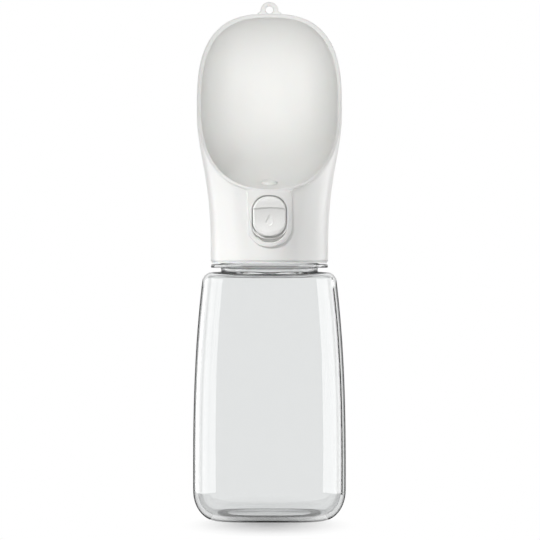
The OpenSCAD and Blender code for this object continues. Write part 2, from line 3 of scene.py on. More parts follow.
import bmesh
import bpy
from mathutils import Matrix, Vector


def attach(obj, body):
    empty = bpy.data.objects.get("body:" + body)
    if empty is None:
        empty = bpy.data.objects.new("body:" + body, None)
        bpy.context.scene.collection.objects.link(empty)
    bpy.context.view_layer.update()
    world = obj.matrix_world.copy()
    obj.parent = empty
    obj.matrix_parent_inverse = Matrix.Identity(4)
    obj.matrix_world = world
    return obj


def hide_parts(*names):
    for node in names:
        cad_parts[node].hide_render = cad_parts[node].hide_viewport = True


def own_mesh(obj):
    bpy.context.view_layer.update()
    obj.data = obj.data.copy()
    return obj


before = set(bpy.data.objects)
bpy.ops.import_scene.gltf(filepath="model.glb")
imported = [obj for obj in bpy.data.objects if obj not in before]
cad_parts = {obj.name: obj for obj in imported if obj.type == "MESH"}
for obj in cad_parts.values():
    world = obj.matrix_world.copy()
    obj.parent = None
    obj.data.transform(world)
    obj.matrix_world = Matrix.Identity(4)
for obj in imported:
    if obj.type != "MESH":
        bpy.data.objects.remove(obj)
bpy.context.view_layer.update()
scene = bpy.context.scene
mm = 0.001
print("frame loaded:", len(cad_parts), "nodes")


# Curves shared by the pieces

def smooth(u):
    v = min(max(u, 0), 1)
    return v * v * (3 - 2 * v)


def mix(a, b, share):
    return a + (b - a) * share


def oval(u, power):
    return max(1 - min(abs(u), 1) ** power, 0) ** (1 / power)


def ovalRadius(angle, p, q, power):
    return ((abs(math.cos(angle)) / p) ** power + (abs(math.sin(angle)) / q) ** power) ** (-1 / power)


head = {
    "bottom": 135.2, "wideZ": 215.9, "crown": 47.9,  # heights of the shell, mm
    "radius": 30.7, "halfWidth": 37.7, "squareness": 2.75,
    "forward": 10, "front": 23, "lipBulge": 1.8, "lipZ": 170.7, "frameLow": 142.3,
    "flareTop": 6, "flarePower": 1.6,  # the widening ends this far below the widest line
    "leanBelow": 12, "frontTurn": 0.8, "backBend": 25, "backPower": 2.4, "backTurn": 0.52,
    "squareAdd": 0.4, "squareBelow": 3,  # how the plan turns squarer above the round foot
}
crownZ = head["wideZ"] + head["crown"]
lipRise = head["wideZ"] - head["lipZ"]


def crownTurn(z, inset):  # 1 at the widest line, 0 at the top of the crown
    return oval((z - head["wideZ"]) / (head["crown"] - inset), head["squareness"])


def headHalf(z, inset=0):
    if z < head["wideZ"]:
        climb = max((z - head["bottom"]) / (head["wideZ"] - head["bottom"] - head["flareTop"]), 0)
        return mix(head["radius"], head["halfWidth"], smooth(climb ** head["flarePower"])) - inset
    return (head["halfWidth"] - inset) * crownTurn(z, inset)


def headMid(z):
    start = head["lipZ"] - head["leanBelow"]
    return -head["forward"] * smooth((z - start) / (head["wideZ"] - start))


def headFront(z, inset=0):
    lipFront = head["radius"] + head["lipBulge"] + headMid(head["lipZ"])
    if z < head["lipZ"]:
        bulge = smooth((z - head["bottom"]) / (head["lipZ"] - head["bottom"]))
        return head["radius"] + head["lipBulge"] * bulge + headMid(z) - inset
    if z < head["wideZ"]:
        return mix(lipFront, head["front"], smooth((z - head["lipZ"]) / lipRise)) - inset
    turn = crownTurn(z, inset) ** (head["squareness"] / 2)
    return (head["front"] - inset) * turn ** head["frontTurn"]


def headBack(z, inset=0):
    bend = head["bottom"] + head["backBend"]
    v = (z - bend) / (crownZ - inset - bend)
    if v < 0:
        return head["radius"] - inset - headMid(z)
    reach = head["radius"] - inset + head["forward"]
    return reach * max(1 - v ** head["backPower"], 0) ** head["backTurn"] - head["forward"] - headMid(z)


def headPower(z):
    rise = (z - head["frameLow"] + head["squareBelow"]) / (head["lipZ"] - head["frameLow"])
    return 2 + head["squareAdd"] * smooth(rise)


def faceY(x, z):  # front surface of the head
    half = headHalf(z)
    share = abs(x) / half if half > 0 else 0
    return headMid(z) - headFront(z) * oval(share, headPower(z))


def headFill(p, inset):  # 1 on the head's surface, less inside, 9 past its ends
    half, mid = headHalf(p.z, inset), headMid(p.z)
    depth = headBack(p.z, inset) if p.y > mid else headFront(p.z, inset)
    if half <= 0 or depth <= 0:
        return 9
    return (abs(p.x) / half) ** headPower(p.z) + (abs(p.y - mid) / depth) ** headPower(p.z)


def ontoHead(centre, target, inset):  # halves the way to the surface until it is found
    near, far = 0.0, 4.0
    for _ in range(36):
        half = (near + far) / 2
        if headFill(centre + (target - centre) * half, inset) < 1:
            near = half
        else:
            far = half
    return centre + (target - centre) * near


# Outlines seen from the front, as points of x and z

def roundedOutline(half, low, high, radius, steps=14):  # right half, bottom middle to top middle
    points = [(0, low)]
    for centreZ, start in ((low + radius, -90), (high - radius, 0)):
        for i in range(steps + 1):
            a = math.radians(start + 90 * i / steps)
            points.append((half - radius + radius * math.cos(a), centreZ + radius * math.sin(a)))
    return points + [(0, high)]


def spread(points, count):  # evenly spaced points along a line of points
    lengths = [0]
    for a, b in zip(points, points[1:]):
        lengths.append(lengths[-1] + math.dist(a, b))
    result = []
    for k in range(count + 1):
        want = lengths[-1] * k / count
        i = max(j for j in range(len(lengths) - 1) if lengths[j] <= want + 1e-9)
        share = (want - lengths[i]) / (lengths[i + 1] - lengths[i])
        result.append(tuple(mix(p, q, share) for p, q in zip(points[i], points[i + 1])))
    return result


def mirrored(right):  # closes a right half into a whole outline
    return right + [(-x, z) for x, z in reversed(right[1:-1])]


# Mesh helpers

def startRing(bm, points):
    ring = bmesh.ops.create_circle(bm, segments=len(points), radius=1)["verts"]
    for vert, point in zip(ring, points):
        vert.co = Vector(point) * mm
    return ring


def ringEdges(bm, ring):
    return [bm.edges.get((a, b)) for a, b in zip(ring, ring[1:] + ring[:1])]


def growRing(bm, ring, points):
    grown = bmesh.ops.extrude_edge_only(bm, edges=ringEdges(bm, ring))["geom"]
    fresh = {item for item in grown if isinstance(item, bmesh.types.BMVert)}
    result = [next(e.other_vert(v) for e in v.link_edges if e.other_vert(v) in fresh) for v in ring]
    for vert, point in zip(result, points):
        vert.co = Vector(point) * mm
    return result


def sweepRings(bm, rings, capped=True):  # extrudes ring after ring, then caps the ends or joins them
    first = last = startRing(bm, rings[0])
    for points in rings[1:]:
        last = growRing(bm, last, points)
    if capped:
        for ring in (first, last):
            bmesh.ops.edgeloop_fill(bm, edges=ringEdges(bm, ring))
    else:
        bmesh.ops.bridge_loops(bm, edges=ringEdges(bm, first) + ringEdges(bm, last))


def makePiece(bm, name, material, rounding=0, sharp=None):
    bmesh.ops.recalc_face_normals(bm, faces=bm.faces)
    mesh = bpy.data.meshes.new(name)
    bm.to_mesh(mesh)
    bm.free()
    piece = bpy.data.objects.new(name, mesh)
    scene.collection.objects.link(piece)
    if material:
        mesh.materials.append(material)
    if rounding:
        subdivision = piece.modifiers.new("rounding", "SUBSURF")
        subdivision.levels = subdivision.render_levels = rounding
        bakeShape(piece)
    piece.data.shade_smooth()
    if sharp:
        piece.data.set_sharp_from_angle(angle=math.radians(sharp))
    return piece


def bakeShape(piece):  # applies the piece's modifiers
    shaped = bpy.data.meshes.new_from_object(piece.evaluated_get(bpy.context.evaluated_depsgraph_get()))
    piece.modifiers.clear()
    old = piece.data
    piece.data = shaped
    bpy.data.meshes.remove(old)


def cutAway(piece, cutter, sharp):  # takes the cutter's shape out of the piece
    cut = piece.modifiers.new("cut", "BOOLEAN")
    cut.operation, cut.solver, cut.object = "DIFFERENCE", "EXACT", cutter
    bpy.context.view_layer.update()
    bakeShape(piece)
    bpy.data.objects.remove(cutter)
    piece.data.shade_smooth()
    piece.data.set_sharp_from_angle(angle=math.radians(sharp))


def settle(piece, body, slotName, *replaced):
    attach(piece, body)
    if replaced:
        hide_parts(*replaced)


# Materials

def colour(hexValue):
    channels = [int(hexValue[i:i + 2], 16) / 255 for i in (1, 3, 5)]
    return [c / 12.92 if c <= 0.04045 else ((c + 0.055) / 1.055) ** 2.4 for c in channels] + [1]


def addNode(tree, kind, settings=None, links=None):  # sockets go by name, or by number where names repeat
    node = tree.nodes.new(kind)
    for name, value in (settings or {}).items():
        if isinstance(name, int) or name in node.inputs.keys():
            node.inputs[name].default_value = value
        else:
            setattr(node, name, value)
    for name, source in (links or {}).items():
        tree.links.new(source, node.inputs[name])
    return node


def newMaterial(name):
    material = bpy.data.materials.new(name)
    material.use_nodes = True
    material.node_tree.nodes.clear()
    return material, material.node_tree


moulding = {"tonePatch": 45, "glossSpread": 0.15, "glowDepth": 0.6}  # mm, share of the roughness, mm


def mouldedPlastic(name, light, dark, roughness, grain, depth, ior=1.53, subsurface=0.0):
    # light and dark are its tones, grain and depth the size and height of the mould's spark texture in mm
    material, tree = newMaterial(name)
    place = addNode(tree, "ShaderNodeTexCoord").outputs["Object"]
    flow = addNode(tree, "ShaderNodeTexNoise", {"Scale": 1000 / moulding["tonePatch"], "Detail": 2.0},
                   {"Vector": place})
    tone = addNode(tree, "ShaderNodeValToRGB", {}, {"Fac": flow.outputs["Fac"]})
    for stop, hexValue in zip(tone.color_ramp.elements, (dark, light)):
        stop.color = colour(hexValue)
    skin = addNode(tree, "ShaderNodeTexNoise", {"Scale": 1000 / grain, "Detail": 3.0}, {"Vector": place})
    sway = roughness * moulding["glossSpread"]
    sheen = addNode(tree, "ShaderNodeMapRange", {"To Min": roughness - sway, "To Max": roughness + sway},
                    {"Value": skin.outputs["Fac"]})
    bump = addNode(tree, "ShaderNodeBump", {"Strength": 1.0, "Distance": depth * mm},
                   {"Height": skin.outputs["Fac"]})
    shader = addNode(tree, "ShaderNodeBsdfPrincipled",
                     {"IOR": ior, "Subsurface Weight": subsurface,
                      "Subsurface Scale": moulding["glowDepth"] * mm},
                     {"Base Color": tone.outputs["Color"], "Roughness": sheen.outputs["Result"],
                      "Normal": bump.outputs["Normal"]})
    addNode(tree, "ShaderNodeOutputMaterial", {}, {"Surface": shader.outputs["BSDF"]})
    return material


# Moulded ABS: bright white with a fine satin from the spark-eroded mould
shellAbs = mouldedPlastic("shellAbs", "#F4F4F2", "#F0F0EE", 0.34, 0.35, 0.012, subsurface=0.05)
bowlAbs = mouldedPlastic("bowlAbs", "#F1F1EF", "#EDEDEB", 0.30, 0.30, 0.008, subsurface=0.05)
buttonAbs = mouldedPlastic("buttonAbs", "#F3F3F1", "#EFEFED", 0.28, 0.30, 0.006)
# White polypropylene of the inner cap and valve: waxy and a little greyer
waxyPolypropylene = mouldedPlastic("waxyPolypropylene", "#F0F1F0", "#EAEBEA", 0.42, 0.45, 0.01, ior=1.49,
                                   subsurface=0.15)
# Acetal of the stem and poppet: smooth, faintly yellow
turnedAcetal = mouldedPlastic("turnedAcetal", "#ECEAE2", "#E6E4DB", 0.36, 0.2, 0.004, ior=1.48)
# Silicone of the gaskets and sleeve: matt and milky
mattSilicone = mouldedPlastic("mattSilicone", "#E8EAEA", "#E1E4E4", 0.55, 0.25, 0.01, ior=1.43,
                              subsurface=0.2)
# Nitrile rubber of the O-rings: dark and dull
nitrileRubber = mouldedPlastic("nitrileRubber", "#3C3C3E", "#333335", 0.6, 0.2, 0.008, ior=1.52)

steel = {"lineGap": 0.15, "smoothest": 0.22, "roughest": 0.34, "colour": "#C6C7C9"}  # gap in mm


def drawnSteel():  # stainless spring wire, bright, with fine lines along the draw that soften its glints
    material, tree = newMaterial("drawnSteel")
    place = addNode(tree, "ShaderNodeTexCoord").outputs["Object"]
    lines = addNode(tree, "ShaderNodeTexNoise", {"Scale": 1000 / steel["lineGap"], "Detail": 2.0},
                    {"Vector": place})
    sheen = addNode(tree, "ShaderNodeMapRange",
                    {"To Min": steel["smoothest"], "To Max": steel["roughest"]},
                    {"Value": lines.outputs["Fac"]})
    shader = addNode(tree, "ShaderNodeBsdfPrincipled",
                     {"Metallic": 1.0, "Base Color": colour(steel["colour"])},
                     {"Roughness": sheen.outputs["Result"]})
    addNode(tree, "ShaderNodeOutputMaterial", {}, {"Surface": shader.outputs["BSDF"]})
    return material


clear = {
    "ripple": 18, "rippleDepth": 0.01,  # width and height of the blown wall's waves, mm
    "roughness": 0.015, "ior": 1.57,
    # painted shade by how far the wall turns from the eye: grey at its edges, clear again when seen edge
    # on
    "paintedEdgeShade": ((0.7, "#EFF0F0"), (0.84, "#404142"), (0.88, "#404142"), (0.92, "#EFF0F0")),
}


def clearCopolyester():  # blown and clear, with painted grey shade at its edges and a slight grey over what lies behind
    material, tree = newMaterial("clearCopolyester")
    place = addNode(tree, "ShaderNodeTexCoord").outputs["Object"]
    flow = addNode(tree, "ShaderNodeTexNoise", {"Scale": 1000 / clear["ripple"], "Detail": 1.0},
                   {"Vector": place})
    ripple = addNode(tree, "ShaderNodeBump", {"Strength": 1.0, "Distance": clear["rippleDepth"] * mm},
                     {"Height": flow.outputs["Fac"]})
    # painted shade: the colour turns dark grey where the wall turns from the eye, standing in for the dark
    # edge lines of clear plastic
    graze = addNode(tree, "ShaderNodeLayerWeight", {"Blend": 0.5})
    edge = addNode(tree, "ShaderNodeValToRGB", {}, {"Fac": graze.outputs["Facing"]})
    for _ in clear["paintedEdgeShade"][2:]:
        edge.color_ramp.elements.new(1)
    for stop, (position, hexValue) in zip(edge.color_ramp.elements, clear["paintedEdgeShade"]):
        stop.position, stop.color = position, colour(hexValue)
    shader = addNode(tree, "ShaderNodeBsdfPrincipled",
                     {"Roughness": clear["roughness"], "IOR": clear["ior"], "Transmission Weight": 1.0},
                     {"Base Color": edge.outputs["Color"], "Normal": ripple.outputs["Normal"]})
    addNode(tree, "ShaderNodeOutputMaterial", {}, {"Surface": shader.outputs["BSDF"]})
    return material


springSteel = drawnSteel()
bottlePlastic = clearCopolyester()
print("materials made")


# Clear bottle

bottle = {
    "height": 129.9, "width": 79.7, "taperWidth": 10.7, "depth": 61, "taperDepth": 2, "taperZ": 25,
    "taperPower": 2.5, "squareness": 3, "wall": 2.3, "floor": 2.6, "dome": 1.2, "shoulder": 2,
    "edgeWidth": 12.5, "edgeHeight": 15.6, "shoulderRadius": 4.8,
    "neck": 25.3, "mouth": 23.2, "ledge": 30.65, "ledgeZ": 131.8, "ledgeThick": 2, "neckTop": 143.0,
    "points": 96, "edgeSteps": 10, "wallSteps": 16, "shoulderTurn": 72,
    "baseRings": (0.08, 0.4, 0.75, 0.94), "floorRings": (0.9, 0.7, 0.4, 0.1),
}


def bottleRing(z, inset):
    taper = (max(z - bottle["taperZ"], 0) / (bottle["height"] - bottle["taperZ"])) ** bottle["taperPower"]
    halfWidth = (bottle["width"] - bottle["taperWidth"] * taper) / 2 - inset
    halfDepth = (bottle["depth"] - bottle["taperDepth"] * taper) / 2 - inset
    points = []
    for k in range(bottle["points"]):
        a = math.tau * k / bottle["points"]
        r = ovalRadius(a, halfWidth, halfDepth, bottle["squareness"])
        points.append((r * math.cos(a), r * math.sin(a), z))
    return points


def roundRing(r, z, count=96):
    turns = [math.tau * k / count for k in range(count)]
    return [(r * math.cos(a), r * math.sin(a), z) for a in turns]


def shrunk(ring, share, z):
    return [(x * share, y * share, z) for x, y, _ in ring]


def bottleWall(inset, low, high, topSteps):  # rings from the base's edge up to the shoulder
    rings = []
    for i in range(bottle["edgeSteps"] + 1):
        a = math.pi / 2 * i / bottle["edgeSteps"]
        rings.append(bottleRing(low + (bottle["edgeHeight"] - low) * (1 - math.cos(a)),
                                inset + (bottle["edgeWidth"] - inset) * (1 - math.sin(a))))
    top = high - bottle["shoulderRadius"] + inset
    count = bottle["wallSteps"]
    rings += [bottleRing(mix(bottle["edgeHeight"], top, i / count), inset) for i in range(1, count + 1)]
    for i in range(1, topSteps + 1):
        a = math.radians(bottle["shoulderTurn"]) * i / topSteps
        r = bottle["shoulderRadius"] - inset
        rings.append(bottleRing(high - r * (1 - math.sin(a)), inset + r * (1 - math.cos(a))))
    return rings


def makeBottle():
    b = bottle
    outside = bottleWall(0, 0, b["height"], 6)
    inside = bottleWall(b["wall"], b["floor"], b["height"] - b["shoulder"], 5)
    floorEdge = inside[0]
    rings = [shrunk(outside[0], share, 0) for share in b["baseRings"]] + outside
    top, ledge, ledgeTop = b["height"], b["ledgeZ"], b["ledgeZ"] + b["ledgeThick"]
    outline = [  # radius and height, up the neck's outside with its ledge and down its mouth
        (b["neck"] + 0.6, top), (b["neck"] + 0.15, top + 0.2), (b["neck"], top + 0.6),
        (b["neck"], ledge - 0.4), (b["neck"] + 0.3, ledge - 0.05), (b["neck"] + 0.8, ledge),
        (b["ledge"] - 0.7, ledge), (b["ledge"] - 0.2, ledge + 0.12), (b["ledge"], ledge + 0.5),
        (b["ledge"], ledgeTop - 0.5), (b["ledge"] - 0.2, ledgeTop - 0.12), (b["ledge"] - 0.7, ledgeTop),
        (b["neck"] + 0.8, ledgeTop), (b["neck"] + 0.2, ledgeTop + 0.1), (b["neck"], ledgeTop + 0.5),
        (b["neck"], b["neckTop"] - 0.6), (b["neck"] - 0.15, b["neckTop"] - 0.12),
        (b["neck"] - 0.5, b["neckTop"]), (b["mouth"] + 0.5, b["neckTop"]),
        (b["mouth"] + 0.15, b["neckTop"] - 0.12), (b["mouth"], b["neckTop"] - 0.6), (b["mouth"], top + 2),
        (b["mouth"], top - b["shoulder"] + 1.0), (b["mouth"] + 0.2, top - b["shoulder"] + 0.4),
        (b["mouth"] + 0.8, top - b["shoulder"] + 0.05),
    ]
    rings += [roundRing(r, z) for r, z in outline]
    rings += inside[::-1]
    rings += [shrunk(floorEdge, share, b["floor"] + b["dome"] * (1 - share)) for share in b["floorRings"]]
    bm = bmesh.new()
    sweepRings(bm, rings)
    piece = makePiece(bm, "clearBottle", bottlePlastic, rounding=1)
    settle(piece, "bottle", "clear_plastic", "bottle_body")


makeBottle()
print("bottle made")


# Screw threads of the neck and the collar

thread = {
    "lead": 6.0, "starts": 2, "turn": 300, "steps": 60,
    "root": 0.75, "tip": 0.45, "sunk": 0.15, "lowZ": 135.9,
    "neckReach": 1.05, "collar": 26.9, "collarReach": -0.7,  # the collar's thread points inwards
}


def makeThread(name, wallRadius, reach, riseZ, material, body, slotName):
    sunk = math.copysign(thread["sunk"], -reach)
    bm = bmesh.new()
    steps = thread["steps"]
    stepRise = thread["lead"] * thread["turn"] / 360 / steps
    root, tip = thread["root"], thread["tip"]
    profile = ((sunk, -root), (reach, -tip), (reach, tip), (sunk, root))
    for start in range(thread["starts"]):
        a = math.tau * start / thread["starts"]
        corners = [bm.verts.new(((wallRadius + r) * math.cos(a) * mm, (wallRadius + r) * math.sin(a) * mm,
                                 (riseZ + z) * mm)) for r, z in profile]
        bm.faces.new(corners)
        bm.faces.ensure_lookup_table()
        bmesh.ops.spin(bm, geom=[bm.faces[-1]], axis=(0, 0, 1), cent=(0, 0, 0), steps=steps,
                       angle=math.radians(thread["turn"]), dvec=(0, 0, stepRise * mm))
    piece = makePiece(bm, name, material, sharp=40)
    settle(piece, body, slotName)


makeThread("neckThread", bottle["neck"], thread["neckReach"], thread["lowZ"], bottlePlastic, "bottle",
           "clear_plastic")
makeThread("collarThread", thread["collar"], thread["collarReach"], thread["lowZ"] + thread["lead"] / 4,
           waxyPolypropylene, "head", "cap_plastic")
print("threads made")


# The bowl's mouth and rim

bowl = {
    "halfWidth": 35.2, "up": 45.2, "down": 43.6, "powerUp": 2.7, "powerLow": 2.42,
    "rim": 2.1, "rimLow": 1.6, "back": 0.9, "wall": 1.5,
    "deepest": 19.5, "depthPower": 2.4, "depthPowerUp": 1.85, "powerBlend": 0.3, "drop": 3,
    "points": 96, "smallest": 0.04,
    # degrees from the mouth inwards
    "turns": (1, 4, 8, 13, 19, 26, 33, 40, 47, 54, 61, 68, 75, 81, 86, 90),
    "outerTurns": (90, 80, 65, 50, 35, 20, 8),
    "seatY": -2, "seat": ((3.6, 165), (3.6, 175.05), (4.25, 175.05), (4.25, 190)),  # the nozzle's hole
}


def mouthRadius(a):
    if math.sin(a) < 0:
        return ovalRadius(a, bowl["halfWidth"], bowl["down"], bowl["powerLow"])
    return ovalRadius(a, bowl["halfWidth"], bowl["up"], bowl["powerUp"])


def rimRadius(a):
    half = bowl["halfWidth"] + bowl["rim"]
    if math.sin(a) < 0:
        return ovalRadius(a, half, bowl["down"] + bowl["rimLow"], bowl["powerLow"])
    return ovalRadius(a, half, bowl["up"] + bowl["rim"], head["squareness"])


def rimPoint(a, share, depth, grow=0.0):  # share 0 is the mouth's edge, 1 the rim's outer edge
    outer = rimRadius(a)
    r = mix(mouthRadius(a), outer, share) + grow
    y = faceY(outer * math.cos(a), head["wideZ"] + outer * math.sin(a)) + depth
    return (r * math.cos(a), y, head["wideZ"] + r * math.sin(a))


def bowlPoint(a, turn, grow=0.0):  # turn 0 is the mouth, 90 degrees the deepest point
    power = mix(bowl["depthPower"], bowl["depthPowerUp"], smooth(math.sin(a) + bowl["powerBlend"]))
    s = max(math.cos(turn) ** (2 / power), bowl["smallest"])
    d = math.sin(turn) ** (2 / power)
    r = (mouthRadius(a) + grow) * s
    y = rimPoint(a, 1, bowl["back"])[1]
    z = head["wideZ"] + r * math.sin(a) - bowl["drop"] * d
    return (r * math.cos(a), mix(y, bowl["deepest"] + grow, d), z)


def around(count, place, *rest):
    return [place(math.tau * k / count, *rest) for k in range(count)]


def makeBowl():
    n = bowl["points"]
    rings = [around(n, bowlPoint, math.radians(t), bowl["wall"]) for t in bowl["outerTurns"]]
    # rim's profile: share of the way out, depth behind the face, extra radius
    section = ((1, 0.9, 0), (1, 0.1, 0), (1, -0.6, -0.03), (0.94, -0.92, 0), (0.8, -1.1, 0),
               (0.5, -1.14, 0), (0.22, -1.08, 0), (0.08, -0.85, 0), (0, -0.5, 0), (0, 0.0, 0), (0, 0.5, 0))
    rings += [around(n, rimPoint, share, depth, grow) for share, depth, grow in section]
    rings += [around(n, bowlPoint, math.radians(t)) for t in bowl["turns"]]
    bm = bmesh.new()
    sweepRings(bm, rings)
    piece = makePiece(bm, "bowlAndRim", bowlAbs, rounding=1)
    cutter = bmesh.new()
    seat = [roundRing(r, z, 64) for r, z in bowl["seat"]]
    sweepRings(cutter, [[(x, y + bowl["seatY"], z) for x, y, z in ring] for ring in seat])
    cutAway(piece, makePiece(cutter, "nozzleSeat", None), sharp=40)
    settle(piece, "head", "bowl_plastic", "bowl")


makeBowl()
print("bowl made")


# Head shell with its hang loop

shell = {
    "wall": 2.0, "points": 96, "rows": 26, "innerRows": 9, "edge": 0.45,
    # how far the rows swing back and rise at the rim, and rise at the foot, each in front and behind
    "leaveBack": 48, "leaveRise": (-12, 8), "arriveRise": (12, 75),
    "opening": (10.4, 143.7, 176, 9.2), "openingY": (-60, -20),  # half width, low, high, radius
}


def shellPath(a, t, inset):  # from the rim's outer edge (t 0) round the back to the foot (t 1)
    start = Vector(rimPoint(a, 1, 0))
    footRadius = head["radius"] - inset
    foot = Vector((footRadius * math.cos(a), footRadius * math.sin(a), head["bottom"]))
    up = (1 + math.sin(a)) / 2
    leave = start + Vector((0, shell["leaveBack"] * up, mix(*shell["leaveRise"], up)))
    arrive = foot + Vector((0, 0, mix(*shell["arriveRise"], up)))
    near = start * (1 - t) ** 3 + leave * 3 * t * (1 - t) ** 2
    return near + arrive * 3 * t * t * (1 - t) + foot * t ** 3


def shellRing(t, inset):
    path = around(shell["points"], shellPath, t, inset)
    centre = sum(path, Vector()) / len(path)
    return [ontoHead(centre, p, inset) for p in path]


def makeShell():
    n, edge, low = shell["points"], shell["edge"], head["bottom"]
    tuck = ((0.7, 1.2), (0.9, 0.5), (1, 0))  # under the rim: share of the way out, depth
    rings = [around(n, rimPoint, share, depth) for share, depth in tuck]
    rings += [shellRing(i / shell["rows"], 0) for i in range(1, shell["rows"])]
    outer, inner = head["radius"], head["radius"] - shell["wall"]
    foot = ((outer, low + 1.2), (outer, low + edge), (outer - edge * 0.3, low + edge * 0.3),
            (outer - edge, low), (inner + edge, low), (inner, low + edge), (inner, low + 1.2))
    rings += [roundRing(r, z, n) for r, z in foot]
    count = shell["innerRows"]
    rings += [shellRing(i / count, shell["wall"]) for i in range(count - 1, 1, -1)]
    bm = bmesh.new()
    sweepRings(bm, rings, capped=False)
    piece = makePiece(bm, "headShell", shellAbs, rounding=1)
    opening = mirrored(spread(roundedOutline(*shell["opening"]), 40))
    cutter = bmesh.new()
    sweepRings(cutter, [[(x, y, z) for x, z in opening] for y in shell["openingY"]])
    cutAway(piece, makePiece(cutter, "sliderOpening", None), sharp=40)
    settle(piece, "head", "shell_plastic", "head_shell")


loop = {
    "hole": 1.9, "outer": 4.7, "root": 7.0, "below": 3.3, "thick": 3.5, "holeZ": 265.8, "outerZ": 265.3,
    "y": -9.125, "edge": 0.6, "points": 64,
}


def makeLoop():
    n = loop["points"]
    outline, hole = [], []
    for k in range(n):
        a = math.tau * k / n
        flare = smooth((-math.sin(a) - 0.05) / 0.4)  # the lower half widens into the shell
        height = loop["outer"] if a < math.pi else loop["below"]
        outline.append((mix(loop["outer"], loop["root"], flare) * math.cos(a),
                        loop["outerZ"] + height * math.sin(a)))
        hole.append((loop["hole"] * math.cos(a), loop["holeZ"] + loop["hole"] * math.sin(a)))

    def ring(share, depth):
        return [(mix(h[0], o[0], share), loop["y"] + depth, mix(h[1], o[1], share))
                for h, o in zip(hole, outline)]

    t, e = loop["thick"] / 2, loop["edge"]  # profile: share from the hole to the outline, depth
    section = [(0, e - t), (0.06, e * 0.3 - t), (0.25, -t), (0.7, -t), (0.93, e * 0.3 - t), (1, e - t),
               (1, t - e), (0.93, t - e * 0.3), (0.7, t), (0.25, t), (0.06, t - e * 0.3), (0, t - e)]
    bm = bmesh.new()
    sweepRings(bm, [ring(share, depth) for share, depth in section], capped=False)
    settle(makePiece(bm, "hangLoop", shellAbs, rounding=1), "head", "shell_plastic")


makeShell()
makeLoop()
print("shell made")


# Frame round the button

window = {"half": 8.9, "low": 144.9, "high": 168.9, "radius": 8}
plate = {
    "half": 11.55, "low": head["frameLow"], "radius": 11, "proud": 1.12, "fillet": 1.8,
    "seamStart": 0.95, "seam": 0.42,  # where it ends on the rim, at its corners and between them
    "lowerSteps": 34, "upperSteps": 14, "cornerSteps": 14, "filletSteps": 8, "topSteps": 10,
}


def filletArc():  # concave corner between the frame's side and the rim's outer edge
    rimLine = [rimPoint(math.radians(-90 + i / 4), 1, 0)[::2] for i in range(200)]
    low, high = 160, 172  # heights between which the corner's circle touches the rim
    for _ in range(30):
        centre = (plate["half"] + plate["fillet"], (low + high) / 2)
        touch = min(rimLine, key=lambda p: math.dist(p, centre))
        if math.dist(touch, centre) > plate["fillet"]:
            low = centre[1]
        else:
            high = centre[1]
    end = math.atan2(touch[1] - centre[1], touch[0] - centre[0])
    steps = plate["filletSteps"]
    arc = [(centre[0] + plate["fillet"] * math.cos(a), centre[1] + plate["fillet"] * math.sin(a))
           for a in (mix(math.pi, end, i / steps) for i in range(steps + 1))]
    return arc, math.atan2(touch[1] - head["wideZ"], touch[0])


def frameOutlines():  # points of the window and of the frame's edge, and how far each is under the rim
    w, p = window, plate
    steps = p["cornerSteps"]
    windowHalf = roundedOutline(w["half"], w["low"], w["high"], w["radius"], steps)
    corner = len(windowHalf) - 2 - steps // 2  # middle of the window's top corner
    arc, turn = filletArc()
    edge = roundedOutline(p["half"], p["low"], w["high"], p["radius"], steps)[:steps + 2] + arc
    top = []
    for i in range(1, p["topSteps"] + 1):
        share = mix(p["seamStart"], p["seam"], smooth(i / 3))
        top.append(rimPoint(mix(turn, -math.pi / 2, i / p["topSteps"]), share, 0)[::2])
    lower = spread(windowHalf[:corner + 1], p["lowerSteps"]), spread(edge, p["lowerSteps"])
    upper = spread(windowHalf[corner:], p["upperSteps"]), spread([edge[-1]] + top, p["upperSteps"])
    under = [0] * p["lowerSteps"] + [smooth(i / 2) for i in range(p["upperSteps"] + 1)]
    return mirrored(lower[0] + upper[0][1:]), mirrored(lower[1] + upper[1][1:]), under + under[-2:0:-1]


def makeFrame():
    inner, outer, covered = frameOutlines()

    def ring(share, depth, topDepth=None):
        underDepth = depth if topDepth is None else topDepth
        points = []
        for (x0, z0), (x1, z1), under in zip(inner, outer, covered):
            x, z = mix(x0, x1, share), mix(z0, z1, share)
            points.append((x, faceY(x, z) + mix(depth, underDepth, under), z))
        return points

    top = -plate["proud"]  # profile: share from the window to the edge, depth, depth under the rim
    section = ((0, 1.0), (0, top + 0.45), (0.04, top + 0.12), (0.14, top), (0.5, top),
               (0.8, top, top + 0.02), (0.95, top + 0.14, top + 0.5), (1, top + 0.5, top + 0.9),
               (1, 0.3, 0.6), (1, 1.0, 1.0))
    bm = bmesh.new()
    sweepRings(bm, [ring(*s) for s in section], capped=False)
    settle(makePiece(bm, "buttonFrame", bowlAbs, rounding=1), "head", "bowl_plastic")


makeFrame()
print("frame made")


# Slide lock and push button

slider = {  # half width, low, high and corner radius of each outline
    "outer": (10.1, 146.6, 169.8, 8.9), "inner": (8.9, 147.5, 168.9, 8),
    "trackOuter": (10.2, 143, 170, 9), "trackHole": (5.3, 154, 165, 5.2), "steps": 36, "sharp": 50,
}


def bandRings(inner, outer, section):  # rings of a flat band between two outlines
    inside, outside = (mirrored(spread(roundedOutline(*form), slider["steps"]))
                       for form in (inner, outer))
    return [[(mix(a[0], b[0], share), y, mix(a[1], b[1], share)) for a, b in zip(inside, outside)]
            for share, y in section]


def makeSlider():
    # profile: share from the inner to the outer outline, y
    section = ((0, -29.6), (0, -30.9), (0.25, -31.2), (0.8, -31.2), (1, -30.9), (1, -29.6))
    bm = bmesh.new()
    sweepRings(bm, bandRings(slider["inner"], slider["outer"], section), capped=False)
    piece = makePiece(bm, "lockSlider", buttonAbs, sharp=slider["sharp"])
    settle(piece, "lock", "slider_plastic", "lock_slider")


